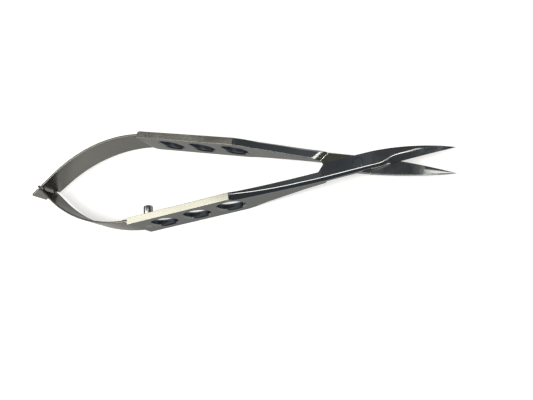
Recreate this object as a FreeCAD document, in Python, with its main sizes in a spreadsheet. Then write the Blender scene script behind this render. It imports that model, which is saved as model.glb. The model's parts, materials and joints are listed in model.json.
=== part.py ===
"""Spring-handled suture scissors with curved blades, lying on their side.

The long axis is X with the blade tips at +X, the handles open along Y and
the pivot axis is Z. The origin is at the bottom centre of the bounding box.

Each half is drawn in its own frame: the pivot at the origin, the grip along
X and the mating plane at z = 0. The far half has its handle on the +Y side.
The near half is its mirror in y and z, except that both blades curve down.
"""
import FreeCAD, Part
import math
import os

import Sketcher

SIZES = {
    # Handle grips: flat plates with three oval finger openings
    "grip_width": 10.0,
    "grip_thick": 1.85,
    "grip_rear": 62.0,
    "grip_front": 31.5,
    "grip_flat": 29.2,
    "grip_offset": 0.75,
    "nose_run": 0.4,
    "ramp_run": 1.4,
    "ramp_blend": 0.6,
    "ramp_lip": 0.12,
    "rest_angle": 9.6,
    "hole_length": 7.0,
    "hole_height": 5.8,
    "hole_pitch": 9.95,
    "hole_front": 33.5,
    "hole_rim": 0.4,
    # Shanks: the grips taper down to the joint plates
    "shank_end": 8.5,
    "shank_radius": 155.0,
    "crotch_reach": 9.5,
    "crotch_drop": 0.05,
    # Facets along the shank's outer edges: place behind the pivot and side position
    "facet_slope": 45.0,
    "facet_place_one": 31.3,
    "facet_side_one": 1.3,
    "facet_place_two": 25.0,
    "facet_side_two": 1.62,
    "facet_place_three": 14.0,
    "facet_side_three": 1.58,
    "facet_place_four": 8.5,
    "facet_side_four": 1.5,
    "facet_place_five": -4.0,
    "facet_side_five": 1.38,
    # The facets on the other edges run out to nothing at the grip
    "runout_side_one": 2.75,
    "runout_side_two": 2.2,
    "runout_side_three": 1.75,
    "runout_side_four": 1.65,
    # Lap joint
    "plate_thick": 1.35,
    "plate_outer": 2.0,
    "plate_inner": 1.95,
    "plate_corner": 7.9,
    "face_gap": 0.08,
    "step_clear": 0.3,
    "step_slope": 35.0,
    "step_end": 6.0,
    # Curved blades
    "blade_start": 3.0,
    "blade_reach": 20.8,
    "tip_side": 0.58,
    "tip_thick": 0.45,
    "edge_thick": 0.1,
    "curve_radius": 60.0,
    "back_radius": 75.0,
    "back_start": 2.3,
    "back_side": 1.86,
    "edge_start": 1.0,
    "edge_radius": 280.0,
    # Ridge above the ground face: place along the blade and side position
    "ridge_place_one": 5.0,
    "ridge_side_one": 1.75,
    "ridge_place_two": 8.0,
    "ridge_side_two": 0.4,
    "ridge_place_three": 11.0,
    "ridge_side_three": 0.0,
    "ridge_place_four": 15.0,
    "ridge_side_four": -0.2,
    "ridge_place_five": 21.4,
    "ridge_side_five": 0.3,
    # Pivot screw
    "screw_radius": 1.2,
    "screw_head": 1.55,
    "head_depth": 0.55,
    "running_gap": 0.03,
    "slot_width": 0.4,
    "slot_depth": 0.25,
    # Leaf springs of the handles
    "leaf_thick": 0.5,
    "leaf_side": 1.52,
    "leaf_set": 4.58,
    "leaf_lean": 0.36,
    "leaf_turn": 41.7,
    "leaf_radius": 45.0,
    "leaf_end_width": 6.9,
    "far_overrun": 3.4,
    "near_overrun": 1.2,
    "root_gap": 0.04,
    # Hook: the far leaf's tongue goes through the near leaf's window
    "tongue_height": 4.0,
    "notch_rear": 0.55,
    "notch_front": 0.95,
    "window_height": 4.2,
    "window_rear": 0.75,
    "window_front": 1.35,
    # Stop pin between the grips
    "pin_set": 3.5,
    "pin_height": 3.7,
    "pin_radius": 1.25,
    "pin_neck": 1.05,
    "pin_neck_height": 1.1,
    "pin_crown": 0.35,
    "pin_shank": 0.9,
}

STATIONS = ("one", "two", "three", "four", "five")
OVERCUT = 0.4  # how far a cutting shape runs past the face, as a share of it


class Size:
    """A length or angle with the sheet expression that it comes from."""

    def __init__(self, value, text=None):
        self.value = float(value)
        self.text = text if text is not None else repr(float(value))

    @staticmethod
    def of(other):
        return other if isinstance(other, Size) else Size(other)

    def __add__(self, other):
        other = Size.of(other)
        return Size(self.value + other.value, f"({self.text} + {other.text})")

    __radd__ = __add__

    def __neg__(self):
        return Size(-self.value, f"(0 - {self.text})")

    def __sub__(self, other):
        return self + (-Size.of(other))

    def __rsub__(self, other):
        return Size.of(other) + (-self)

    def __mul__(self, other):
        other = Size.of(other)
        return Size(self.value * other.value, f"({self.text} * {other.text})")

    __rmul__ = __mul__

    def __truediv__(self, other):
        other = Size.of(other)
        return Size(self.value / other.value, f"({self.text} / {other.text})")


def sine(angle):
    return Size(math.sin(math.radians(angle.value)), f"sin({angle.text})")


def cosine(angle):
    return Size(math.cos(math.radians(angle.value)), f"cos({angle.text})")


def tangent(angle):
    return Size(math.tan(math.radians(angle.value)), f"tan({angle.text})")


def root(number):
    return Size(math.sqrt(number.value), f"sqrt({number.text})")


doc = FreeCAD.newDocument("suture_scissors")
sheet = doc.addObject("Spreadsheet::Sheet", "Sizes")
dim = {}
for row, (name, value) in enumerate(SIZES.items(), start=1):
    sheet.set(f"A{row}", name)
    sheet.set(f"B{row}", str(value))
    sheet.setAlias(f"B{row}", name)
    dim[name] = Size(value, f"Sizes.{name}")
doc.recompute()


def plane_of(body, role):
    """The body's own origin plane with that role."""
    return [f for f in body.Origin.OriginFeatures if f.Role == role][0]


def new_sketch(body, name, role, offset=None):
    """An empty sketch on an origin plane, moved along the plane's normal."""
    sketch = body.newObject("Sketcher::SketchObject", name)
    sketch.AttachmentSupport = [(plane_of(body, role), "")]
    sketch.MapMode = "FlatFace"
    if offset is not None:
        sketch.AttachmentOffset = FreeCAD.Placement(
            FreeCAD.Vector(0, 0, offset.value), FreeCAD.Rotation())
        sketch.setExpression("AttachmentOffset.Base.z", offset.text)
    return sketch


def bind(sketch, kind, *where, size):
    """Add a dimension to a sketch and tie it to the sheet."""
    index = sketch.addConstraint(Sketcher.Constraint(kind, *where, size.value))
    sketch.setExpression(f"Constraints[{index}]", size.text)


def arc_between(start, end, radius):
    """Arc from start to end; a positive radius bulges to the right of the way."""
    sx, sy = start
    ex, ey = end
    chord = math.hypot(ex - sx, ey - sy)
    height = math.sqrt(max(radius * radius - chord * chord / 4, 0))
    side = 1 if radius > 0 else -1
    nx, ny = -(ey - sy) / chord * side, (ex - sx) / chord * side
    cx, cy = (sx + ex) / 2 + nx * height, (sy + ey) / 2 + ny * height
    first = math.atan2(sy - cy, sx - cx)
    last = math.atan2(ey - cy, ex - cx)
    circle = Part.Circle(FreeCAD.Vector(cx, cy, 0), FreeCAD.Vector(0, 0, 1), abs(radius))
    if side > 0:
        return Part.ArcOfCircle(circle, first, last), True
    return Part.ArcOfCircle(circle, last, first), False


def draw_outline(sketch, points, arcs=None, smooth=None):
    """Close an outline through points; arcs maps a side's number to its radius.

    The arc numbered smooth runs on into the next side, which sets its radius.
    """
    arcs = arcs or {}
    count = len(points)
    ends = []
    for number in range(count):
        start = (points[number][0].value, points[number][1].value)
        end = (points[(number + 1) % count][0].value, points[(number + 1) % count][1].value)
        if number in arcs:
            shape, forward = arc_between(start, end, arcs[number].value)
            geometry = sketch.addGeometry(shape, False)
            ends.append((geometry, 1, 2) if forward else (geometry, 2, 1))
        else:
            shape = Part.LineSegment(FreeCAD.Vector(*start, 0), FreeCAD.Vector(*end, 0))
            geometry = sketch.addGeometry(shape, False)
            ends.append((geometry, 1, 2))
    for number in range(count):
        geometry, _, last = ends[number]
        following, first, _ = ends[(number + 1) % count]
        kind = "Tangent" if number == smooth else "Coincident"
        sketch.addConstraint(Sketcher.Constraint(kind, geometry, last, following, first))
    for number, (across, up) in enumerate(points):
        geometry, first, _ = ends[number]
        bind(sketch, "DistanceX", -1, 1, geometry, first, size=across)
        bind(sketch, "DistanceY", -1, 1, geometry, first, size=up)
    for number, radius in arcs.items():
        if number != smooth:
            size = radius if radius.value > 0 else -radius
            bind(sketch, "Radius", ends[number][0], size=size)


def draw_circle(sketch, centre, radius):
    circle = Part.Circle(
        FreeCAD.Vector(centre[0].value, centre[1].value, 0), FreeCAD.Vector(0, 0, 1), radius.value)
    geometry = sketch.addGeometry(circle, False)
    bind(sketch, "DistanceX", -1, 1, geometry, 3, size=centre[0])
    bind(sketch, "DistanceY", -1, 1, geometry, 3, size=centre[1])
    bind(sketch, "Radius", geometry, size=radius)


def draw_slot(sketch, rear, front, radius):
    """A long hole with round ends between two centres at the same height."""
    up, down = FreeCAD.Vector(0, radius.value, 0), FreeCAD.Vector(0, -radius.value, 0)
    ends = [FreeCAD.Vector(rear.value, 0, 0), FreeCAD.Vector(front.value, 0, 0)]
    axis = FreeCAD.Vector(0, 0, 1)
    shapes = [
        Part.LineSegment(ends[0] + down, ends[1] + down),
        Part.ArcOfCircle(Part.Circle(ends[1], axis, radius.value), -math.pi / 2, math.pi / 2),
        Part.LineSegment(ends[1] + up, ends[0] + up),
        Part.ArcOfCircle(Part.Circle(ends[0], axis, radius.value), math.pi / 2, 3 * math.pi / 2),
    ]
    sides = [sketch.addGeometry(shape, False) for shape in shapes]
    for number, side in enumerate(sides):
        sketch.addConstraint(Sketcher.Constraint("Tangent", side, 2, sides[(number + 1) % 4], 1))
    for arc, along in ((sides[1], front), (sides[3], rear)):
        bind(sketch, "DistanceX", -1, 1, arc, 3, size=along)
        sketch.addConstraint(Sketcher.Constraint("PointOnObject", arc, 3, -1))
    bind(sketch, "Radius", sides[1], size=radius)


def pad_through(body, name, sketch, length):
    """A pad that is centred on its sketch."""
    pad = body.newObject("PartDesign::Pad", name)
    pad.Profile = sketch
    pad.Midplane = True
    pad.Length = length.value
    pad.setExpression("Length", length.text)
    return pad


def pocket_through(body, name, sketch):
    """A cut that goes right through on both sides of its sketch."""
    pocket = body.newObject("PartDesign::Pocket", name)
    pocket.Profile = sketch
    pocket.Midplane = True
    pocket.Type = "ThroughAll"
    return pocket


# Heights of the mating plane and the outer faces, for a side of +1 or -1
def mating_height(along):
    """Height of the curved mating face of both blades at a distance along."""
    beyond = along - dim["blade_start"]
    radius = dim["curve_radius"]
    return root(radius * radius - beyond * beyond) - radius


def blade_thickness(along):
    share = (along - dim["blade_start"]) / (dim["blade_reach"] - dim["blade_start"])
    return dim["plate_thick"] + (dim["tip_thick"] - dim["plate_thick"]) * share


def half_plan(side):
    """Plan outline of a half and its arcs."""
    d = dim
    outer = d["grip_offset"] + d["grip_thick"]
    groove = d["leaf_thick"] / 2 + d["root_gap"]
    lip_top = d["leaf_side"] - groove - d["ramp_run"] * tangent(leaf_start(side))
    ramp_end = d["grip_rear"] + d["ramp_run"]
    points = [
        (-ramp_end, lip_top),
        (-ramp_end, lip_top - d["ramp_lip"]),
        (d["ramp_blend"] - d["grip_rear"], d["grip_offset"]),
        (-d["grip_flat"], d["grip_offset"]),
        (-d["crotch_reach"], -d["crotch_drop"]),
        (-d["plate_corner"], -d["plate_inner"]),
        (d["back_start"], -d["back_side"]),
        (d["blade_reach"], d["tip_side"]),
        (-d["edge_start"], d["plate_outer"]),
        (-d["grip_flat"], outer),
        (d["nose_run"] - d["grip_rear"], outer),
        (-d["grip_rear"], d["leaf_side"] + groove),
        (-d["grip_rear"], d["leaf_side"] - groove),
    ]
    arcs = {6: d["back_radius"], 7: d["edge_radius"]}
    if side < 0:
        points = [(across, -up) for across, up in points]
        arcs = {number: -radius for number, radius in arcs.items()}
    return points, arcs


def half_profile(side):
    """Side outline of a half: what stays of the plan's full depth."""
    d = dim
    full = d["grip_width"] / 2
    behind = d["grip_rear"] + 5 * d["ramp_run"]
    beyond = d["blade_reach"] + d["plate_thick"]
    gap = d["face_gap"] / 2
    outer_tip = side * mating_height(beyond) - blade_thickness(beyond)
    points = [
        (-behind, -full),
        (-d["grip_front"], -full),
        (-d["shank_end"], -d["plate_thick"]),
        (d["blade_start"], -d["plate_thick"]),
        (beyond, outer_tip),
        (beyond, side * mating_height(beyond) - gap),
        (d["blade_start"], -gap),
        (-d["step_end"], -gap),
        (-d["step_end"], d["plate_thick"]),
        (-d["shank_end"], d["plate_thick"]),
        (-d["grip_front"], full),
        (-behind, full),
    ]
    bend = d["curve_radius"] if side < 0 else -d["curve_radius"]
    arcs = {1: d["shank_radius"] * -1, 3: bend, 5: -bend, 9: d["shank_radius"] * -1}
    if side < 0:
        points = [(across, -up) for across, up in points]
        arcs = {number: -radius for number, radius in arcs.items()}
    return points, arcs


def cut_profile(body, side):
    """Cut the padded plan down to its side outline."""
    d = dim
    sketch = new_sketch(body, "side_outline", "XZ_Plane")
    points, arcs = half_profile(side)
    draw_outline(sketch, points, arcs)
    margin = d["grip_width"]
    back, front = -(d["grip_rear"] + margin * 2), d["blade_reach"] + margin
    draw_outline(sketch, [(back, -margin), (front, -margin), (front, margin), (back, margin)])
    return pocket_through(body, "side_cut", sketch)


def cut_step(body, side):
    """Clear the mating half's plate: a sloping step across the shank."""
    d = dim
    gap = d["face_gap"] / 2
    clear = d["step_clear"]
    wide = d["grip_width"] / 4
    rise = (d["plate_inner"] - d["crotch_drop"]) / (d["crotch_reach"] - d["plate_corner"])
    low = -(d["crotch_reach"] + clear) - wide / rise
    high = -(d["crotch_reach"] + clear) + wide / rise
    points = [
        (low, -wide),
        (-d["step_end"] + clear, -wide),
        (-d["step_end"] + clear, wide),
        (high, wide),
    ]
    if side < 0:
        points = [(across, -up) for across, up in points]
    sketch = new_sketch(body, "step_outline", "XY_Plane", -gap * side)
    draw_outline(sketch, points)
    pocket = body.newObject("PartDesign::Pocket", "step_cut")
    pocket.Profile = sketch
    pocket.Type = "Length"
    depth = d["plate_thick"] * 2
    pocket.Length = depth.value
    pocket.setExpression("Length", depth.text)
    pocket.TaperAngle = d["step_slope"].value
    pocket.setExpression("TaperAngle", d["step_slope"].text)
    pocket.Reversed = side > 0
    return pocket


def cut_openings(body, side):
    """Three oval openings through the grip, with eased rims."""
    d = dim
    radius = d["hole_height"] / 2
    flat = (d["hole_length"] - d["hole_height"]) / 2
    centre = -d["hole_front"]
    sketch = new_sketch(body, "opening_outline", "XZ_Plane")
    draw_slot(sketch, centre - flat, centre + flat, radius)
    body.Tip = pocket_through(body, "opening", sketch)
    doc.recompute()
    pattern = body.newObject("PartDesign::LinearPattern", "openings")
    pattern.Originals = [body.Tip]
    pattern.Direction = (sketch, ["H_Axis"])
    pattern.Reversed = True
    pattern.Occurrences = 3
    span = d["hole_pitch"] * 2
    pattern.Length = span.value
    pattern.setExpression("Length", span.text)
    body.Tip = pattern
    doc.recompute()
    slack = 0.01
    front = (centre + d["hole_length"]).value
    rear = (centre - span - d["hole_length"]).value
    rims = []
    for number, edge in enumerate(pattern.Shape.Edges, start=1):
        box = edge.BoundBox
        on_grip = rear < box.XMin and box.XMax < front
        on_face = box.YLength < slack and max(abs(box.ZMin), abs(box.ZMax)) < radius.value + slack
        if on_grip and on_face:
            rims.append(f"Edge{number}")
    chamfer = body.newObject("PartDesign::Chamfer", "opening_rims")
    chamfer.Base = (pattern, rims)
    chamfer.Size = d["hole_rim"].value
    chamfer.setExpression("Size", d["hole_rim"].text)
    body.Tip = chamfer
    doc.recompute()
    return chamfer


def grind_blade(body, side):
    """Grind the blade's outer face down to the cutting edge."""
    d = dim
    sections = []
    run = d["blade_reach"] + d["edge_start"]
    for station in STATIONS:
        along = d[f"ridge_place_{station}"]
        ridge = d[f"ridge_side_{station}"]
        share = (along + d["edge_start"]) / run
        straight = d["plate_outer"] + (d["tip_side"] - d["plate_outer"]) * share
        edge = straight + run * run * share * (1 - share) / (2 * d["edge_radius"])
        face = side * mating_height(along)
        top = face - blade_thickness(along)
        low = face - d["edge_thick"]
        inner = ridge + (ridge - edge) * OVERCUT
        outer = edge + (edge - ridge) * OVERCUT
        above = top + (top - low) * OVERCUT
        below = low + (low - top) * OVERCUT
        corners = [(side * inner, side * above), (side * outer, side * below),
                   (side * outer, side * above)]
        sketch = new_sketch(body, f"grind_{station}", "YZ_Plane", along)
        draw_outline(sketch, corners)
        sections.append(sketch)
    loft = body.newObject("PartDesign::SubtractiveLoft", "grind")
    loft.Profile = sections[0]
    loft.Sections = sections[1:]
    loft.Ruled = True
    return loft


def shank_height(along):
    """Height of the shank's hollow top face above the middle, at a distance along."""
    d = dim
    radius = d["shank_radius"]
    run = d["grip_front"] - d["shank_end"]
    drop = d["grip_width"] / 2 - d["plate_thick"]
    chord = root(run * run + drop * drop)
    away = root(radius * radius - chord * chord / 4) / chord
    centre_along = -(d["grip_front"] + d["shank_end"]) / 2 + drop * away
    centre_up = (d["grip_width"] / 2 + d["plate_thick"]) / 2 + run * away
    beside = along - centre_along
    return centre_up - root(radius * radius - beside * beside)


def cut_facet(body, name, side, face, stations, line):
    """Grind a facet along an outer edge of the shank, down from the named line."""
    d = dim
    slope = tangent(d["facet_slope"])
    wide = d["grip_thick"]
    above = d["plate_thick"]
    sections = []
    for station in stations:
        along = -d[f"facet_place_{station}"]
        ridge = d[f"{line}_{station}"]
        top = shank_height(along) if along.value < -d["shank_end"].value else d["plate_thick"]
        corners = [
            (side * (ridge - above / slope), side * face * (top + above)),
            (side * (ridge + wide), side * face * (top - wide * slope)),
            (side * (ridge + wide), side * face * (top + above)),
        ]
        sketch = new_sketch(body, f"{name}_{station}", "YZ_Plane", along)
        draw_outline(sketch, corners)
        sections.append(sketch)
    loft = body.newObject("PartDesign::SubtractiveLoft", name)
    loft.Profile = sections[0]
    loft.Sections = sections[1:]
    loft.Ruled = True
    doc.recompute()
    return loft


def build_half(label, side):
    """One forged half: grip, shank, joint plate and blade."""
    d = dim
    body = doc.addObject("PartDesign::Body", label)
    body.Label = label
    plan = new_sketch(body, "plan_outline", "XY_Plane")
    draw_outline(plan, *half_plan(side))
    pad_through(body, "blank", plan, d["grip_width"])
    doc.recompute()
    cut_profile(body, side)
    doc.recompute()
    cut_step(body, side)
    doc.recompute()
    groove = new_sketch(body, "root_groove_outline", "XY_Plane")
    draw_circle(groove, (-d["grip_rear"], side * d["leaf_side"]), d["leaf_thick"] / 2 + d["root_gap"])
    pocket_through(body, "root_groove", groove)
    doc.recompute()
    cut_openings(body, side)
    grind_blade(body, side)
    doc.recompute()
    cut_facet(body, "outer_facet", side, -1, STATIONS, "facet_side")
    cut_facet(body, "inner_facet", side, 1, STATIONS[:4], "runout_side")
    return body


def place_on_half(body, side):
    """Turn a piece drawn in a half's frame to the rest position."""
    pivot = FreeCAD.Vector(pivot_x, 0, SIZES["grip_width"] / 2)
    turn = FreeCAD.Rotation(FreeCAD.Vector(0, 0, 1), -side * SIZES["rest_angle"])
    body.Placement = FreeCAD.Placement(pivot, turn)


def leaf_bend(first, last):
    """How far back and how far down the bend carries the leaf."""
    radius = dim["leaf_radius"]
    return radius * (sine(last) - sine(first)), radius * (cosine(first) - cosine(last))


def leaf_tail(side):
    """Straight run from the end of the bend to where the two leaves cross."""
    d = dim
    rest, turn = d["rest_angle"], d["leaf_turn"]
    own, other = leaf_start(side) - rest, leaf_start(-side) - rest
    own_back, own_down = leaf_bend(own, own + turn)
    other_back, other_down = leaf_bend(other, other + turn)
    root_height = d["grip_rear"] * sine(rest) + d["leaf_side"] * cosine(rest)
    apart = 2 * root_height - own_down - other_down
    behind = other_back - own_back
    reach = behind * sine(other + turn) + apart * cosine(other + turn)
    return reach / sine(own + other + 2 * turn)


def leaf_start(side):
    """Angle of a leaf at its root: both leaves lean a little to the near side."""
    return dim["leaf_set"] + side * dim["leaf_lean"]


def leaf_route(side):
    """Points of the leaf's centre line: root, end of the bend, crossing."""
    d = dim
    first = leaf_start(side)
    last = first + d["leaf_turn"]
    root_point = (-d["grip_rear"], d["leaf_side"])
    back, down = leaf_bend(first, last)
    bend = (root_point[0] - back, root_point[1] - down)
    tail = leaf_tail(side)
    crossing = (bend[0] - tail * cosine(last), bend[1] - tail * sine(last))
    return root_point, bend, crossing, first, last


def build_leaf(label, side, overrun):
    """One leaf spring: a bowed strip with a rounded root and one part of the hook."""
    d = dim
    half = d["leaf_thick"] / 2
    root_point, bend, crossing, first, last = leaf_route(side)
    end = (crossing[0] - overrun * cosine(last), crossing[1] - overrun * sine(last))

    def beside(point, angle, offset):
        return (point[0] - offset * sine(angle), point[1] + offset * cosine(angle))

    points = [
        beside(root_point, first, half),
        beside(bend, last, half),
        beside(end, last, half),
        beside(end, last, -half),
        beside(bend, last, -half),
        beside(root_point, first, -half),
    ]
    arcs = {0: d["leaf_radius"] + half, 4: -(d["leaf_radius"] - half), 5: half}
    if side < 0:
        points = [(across, -up) for across, up in points]
        arcs = {number: -radius for number, radius in arcs.items()}
    body = doc.addObject("PartDesign::Body", label)
    body.Label = label
    plan = new_sketch(body, "strip_outline", "XY_Plane")
    draw_outline(plan, points, arcs, smooth=5)
    pad_through(body, "strip", plan, d["grip_width"])
    doc.recompute()

    # The strip narrows from the grip's width to its tail
    full, narrow = d["grip_width"] / 2, d["leaf_end_width"] / 2
    tail = end[0] - half
    edge = new_sketch(body, "taper_outline", "XZ_Plane")
    margin = d["grip_width"]
    start = -d["grip_rear"] + margin
    for sign in (1, -1):
        draw_outline(edge, [
            (-d["grip_rear"], sign * full),
            (tail, sign * narrow),
            (tail - margin, sign * narrow),
            (tail - margin, sign * margin),
            (start, sign * margin),
            (start, sign * full),
        ])
    pocket_through(body, "taper", edge)
    doc.recompute()

    def cut_across(name, rear, front, low, high):
        """Cut the strip between two places beside the crossing and two heights."""
        deep = d["leaf_thick"] * 2
        corners = []
        for along, across in ((-rear, -deep), (front, -deep), (front, deep), (-rear, deep)):
            corners.append((crossing[0] + along * cosine(last) - across * sine(last),
                            crossing[1] + along * sine(last) + across * cosine(last)))
        if side < 0:
            corners = [(where, -up) for where, up in corners]
        sketch = new_sketch(body, name + "_outline", "XY_Plane", low)
        draw_outline(sketch, corners)
        pocket = body.newObject("PartDesign::Pocket", name)
        pocket.Profile = sketch
        pocket.Type = "Length"
        length = high - low
        pocket.Length = length.value
        pocket.setExpression("Length", length.text)
        pocket.Reversed = True
        doc.recompute()

    if side < 0:
        window = d["window_height"] / 2
        cut_across("window", d["window_rear"], d["window_front"], -window, window)
    else:
        tongue, outside = d["tongue_height"] / 2, d["grip_width"]
        cut_across("upper_notch", d["notch_rear"], d["notch_front"], tongue, outside)
        cut_across("lower_notch", overrun * 2, d["notch_front"], -outside, -tongue)
    return body


def cut_round(body, name, radius, role="XY_Plane", centre=None, offset=None, length=None, reverse=False):
    """A round hole, right through or to a depth from its plane."""
    sketch = new_sketch(body, name + "_outline", role, offset)
    draw_circle(sketch, centre or (Size(0), Size(0)), radius)
    pocket = body.newObject("PartDesign::Pocket", name)
    pocket.Profile = sketch
    if length is None:
        pocket.Midplane = True
        pocket.Type = "ThroughAll"
    else:
        pocket.Type = "Length"
        pocket.Length = length.value
        pocket.setExpression("Length", length.text)
        pocket.Reversed = reverse
    doc.recompute()
    return pocket


def build_turned(label, profile):
    """A turned piece: its half section, radius and height, spun round Z."""
    body = doc.addObject("PartDesign::Body", label)
    body.Label = label
    sketch = new_sketch(body, "half_section", "XZ_Plane")
    draw_outline(sketch, profile)
    spin = body.newObject("PartDesign::Revolution", "turned")
    spin.Profile = sketch
    spin.ReferenceAxis = (sketch, ["V_Axis"])
    spin.Angle = 360
    doc.recompute()
    return body


def build_screw():
    """Pivot screw: slotted head flush in the far plate, end flush in the near one."""
    d = dim
    low, high = -d["plate_thick"], d["plate_thick"]
    neck = low + d["head_depth"]
    body = build_turned("pivot_screw", [
        (Size(0), low), (d["screw_head"], low), (d["screw_head"], neck),
        (d["screw_radius"], neck), (d["screw_radius"], high), (Size(0), high)])
    slot = new_sketch(body, "slot_outline", "XY_Plane", low)
    long, wide = d["screw_head"] * 2, d["slot_width"] / 2
    draw_outline(slot, [(-long, -wide), (long, -wide), (long, wide), (-long, wide)])
    pocket = body.newObject("PartDesign::Pocket", "slot")
    pocket.Profile = slot
    pocket.Type = "Length"
    pocket.Length = d["slot_depth"].value
    pocket.setExpression("Length", d["slot_depth"].text)
    pocket.Reversed = True
    doc.recompute()
    return body


def build_pin():
    """Stop pin: a headed peg pressed into the near half's grip."""
    d = dim
    top = d["pin_height"]
    shoulder = top - d["pin_crown"]
    return build_turned("stop_pin", [
        (Size(0), -d["grip_thick"]), (d["pin_shank"], -d["grip_thick"]), (d["pin_shank"], Size(0)),
        (d["pin_neck"], Size(0)), (d["pin_neck"], d["pin_neck_height"]),
        (d["pin_radius"], d["pin_neck_height"] + d["pin_radius"] - d["pin_neck"]),
        (d["pin_radius"], shoulder), (d["pin_radius"] - d["pin_crown"], top), (Size(0), top)])


far_half = build_half("far_half", 1)
near_half = build_half("near_half", -1)
far_leaf = build_leaf("far_leaf", 1, dim["far_overrun"])
near_leaf = build_leaf("near_leaf", -1, dim["near_overrun"])
pivot_screw = build_screw()
stop_pin = build_pin()

# Screw holes: a running fit in the far plate, the screw's own size in the near one
cut_round(near_half, "screw_hole", dim["screw_radius"])
cut_round(far_half, "screw_hole", dim["screw_radius"] + dim["running_gap"])
cut_round(
    far_half, "head_recess", dim["screw_head"] + dim["running_gap"],
    offset=-dim["plate_thick"] + dim["head_depth"] + dim["running_gap"],
    length=dim["plate_thick"])
pin_along = dim["pin_set"] - dim["grip_rear"]
cut_round(
    near_half, "pin_hole", dim["pin_shank"], role="XZ_Plane",
    centre=(pin_along, Size(0)))

# The origin is at the bottom centre: the pivot stands forward of it
rest = dim["rest_angle"]
tip_reach = dim["blade_reach"] * cosine(rest) + dim["tip_side"] * sine(rest)
_, _, crossing, _, last = leaf_route(1)
crossing_reach = crossing[0] * cosine(rest) + crossing[1] * sine(rest)
tail_reach = dim["far_overrun"] * cosine(last - rest) + dim["leaf_thick"] / 2 * sine(last - rest)
pivot_x = -(tip_reach + crossing_reach - tail_reach).value / 2

for piece, side in ((far_half, 1), (far_leaf, 1), (near_half, -1), (near_leaf, -1), (pivot_screw, -1)):
    place_on_half(piece, side)
seat = FreeCAD.Placement(
    FreeCAD.Vector(pin_along.value, -SIZES["grip_offset"], 0),
    FreeCAD.Rotation(FreeCAD.Vector(1, 0, 0), -90))
stop_pin.Placement = near_half.Placement.multiply(seat)
doc.recompute()

pieces = (near_half, far_half, near_leaf, far_leaf, pivot_screw, stop_pin)
for item in doc.Objects:
    if "Invalid" in item.State or "Error" in item.State:
        raise RuntimeError(f"{item.Name} did not build: {item.State}")
for piece in pieces:
    if piece.Shape.isNull() or not piece.Shape.isValid() or len(piece.Shape.Solids) != 1:
        raise RuntimeError(f"{piece.Label} is not one sound solid")

os.makedirs("parts", exist_ok=True)
for piece in pieces:
    piece.Shape.exportStep(f"parts/{piece.Label}.step")
    box = piece.Shape.BoundBox
    print(f"{piece.Label}: {piece.Shape.Volume:.2f} mm3, x {box.XMin:.2f} to {box.XMax:.2f}, "
          f"y {box.YMin:.2f} to {box.YMax:.2f}, z {box.ZMin:.2f} to {box.ZMax:.2f}")
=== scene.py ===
"""Looks of the spring-handled suture scissors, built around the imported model.

Everything is in metres in the frame of the CAD model: blade tips at +X, the
pivot axis along Z, the far handle at +Y and the floor at z = 0. Sizes in the
classes are millimetres, as in the part's source. A half's own frame has the
pivot at the origin and the grip along X, with the outer face at +Y.
"""
from __future__ import annotations

import json
import logging
import math
from collections.abc import Iterator
from contextlib import contextmanager
from dataclasses import dataclass
from enum import Enum
from typing import Any

import bmesh
import bpy
from mathutils import Euler, Matrix, Vector

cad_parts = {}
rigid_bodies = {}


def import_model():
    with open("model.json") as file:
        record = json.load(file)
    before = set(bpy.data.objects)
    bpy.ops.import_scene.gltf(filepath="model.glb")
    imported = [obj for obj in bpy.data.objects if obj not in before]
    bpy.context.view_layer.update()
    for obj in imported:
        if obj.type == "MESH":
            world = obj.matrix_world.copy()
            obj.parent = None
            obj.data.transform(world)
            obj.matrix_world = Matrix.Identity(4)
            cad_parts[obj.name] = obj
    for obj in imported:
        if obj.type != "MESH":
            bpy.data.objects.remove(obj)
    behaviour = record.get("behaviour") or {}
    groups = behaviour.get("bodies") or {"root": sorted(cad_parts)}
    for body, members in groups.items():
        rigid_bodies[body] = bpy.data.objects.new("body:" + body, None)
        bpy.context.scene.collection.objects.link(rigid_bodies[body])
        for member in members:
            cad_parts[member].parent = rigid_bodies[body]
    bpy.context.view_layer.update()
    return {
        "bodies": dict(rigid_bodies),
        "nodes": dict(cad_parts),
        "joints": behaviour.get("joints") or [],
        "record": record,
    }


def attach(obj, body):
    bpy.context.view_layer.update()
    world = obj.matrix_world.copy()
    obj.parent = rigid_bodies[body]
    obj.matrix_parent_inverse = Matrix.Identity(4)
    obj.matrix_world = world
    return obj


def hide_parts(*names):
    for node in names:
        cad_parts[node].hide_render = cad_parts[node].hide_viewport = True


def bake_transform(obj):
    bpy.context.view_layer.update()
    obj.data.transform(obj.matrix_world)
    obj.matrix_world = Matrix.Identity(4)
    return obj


LOG = logging.getLogger("scissors")
Frame = dict[str, Any]
MM = 0.001
GRAIN = "grain"  # vertex attribute: millimetres along and across the tool marks
REST_ANGLE = 9.6  # each handle from the long axis, degrees
ON_PLANE = 1e-7  # metres: closer than this, a vertex lies on a cutting plane
TOUCHING = 1e-6  # metres: closer than this, two places are one
CLOUD_RANGE = (0.3, 0.7)  # the part of a soft noise's range that is in use
LINE_RANGE = (0.25, 0.75)  # the same for the noise that draws the tool marks
CUTTER_REACH = 4  # how many times thicker a cutting shape is than what it cuts


class Side(Enum):
    """Which half of the scissors: the sign of Y at its handle."""

    NEAR = -1
    FAR = 1

    @property
    def label(self) -> str:
        """The word that the half's nodes start with."""
        return self.name.lower()


class Zone(Enum):
    """Stretches of a half that are finished in their own way, in slot order. The bores and the lap
    joint's faces carry painted shade, the joint's slope a painted highlight.
    """

    POLISHED = 0
    BAND = 1
    GRIP = 2
    GROUND = 3
    BORE = 4
    LAPPED = 5
    RAMP = 6


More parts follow.
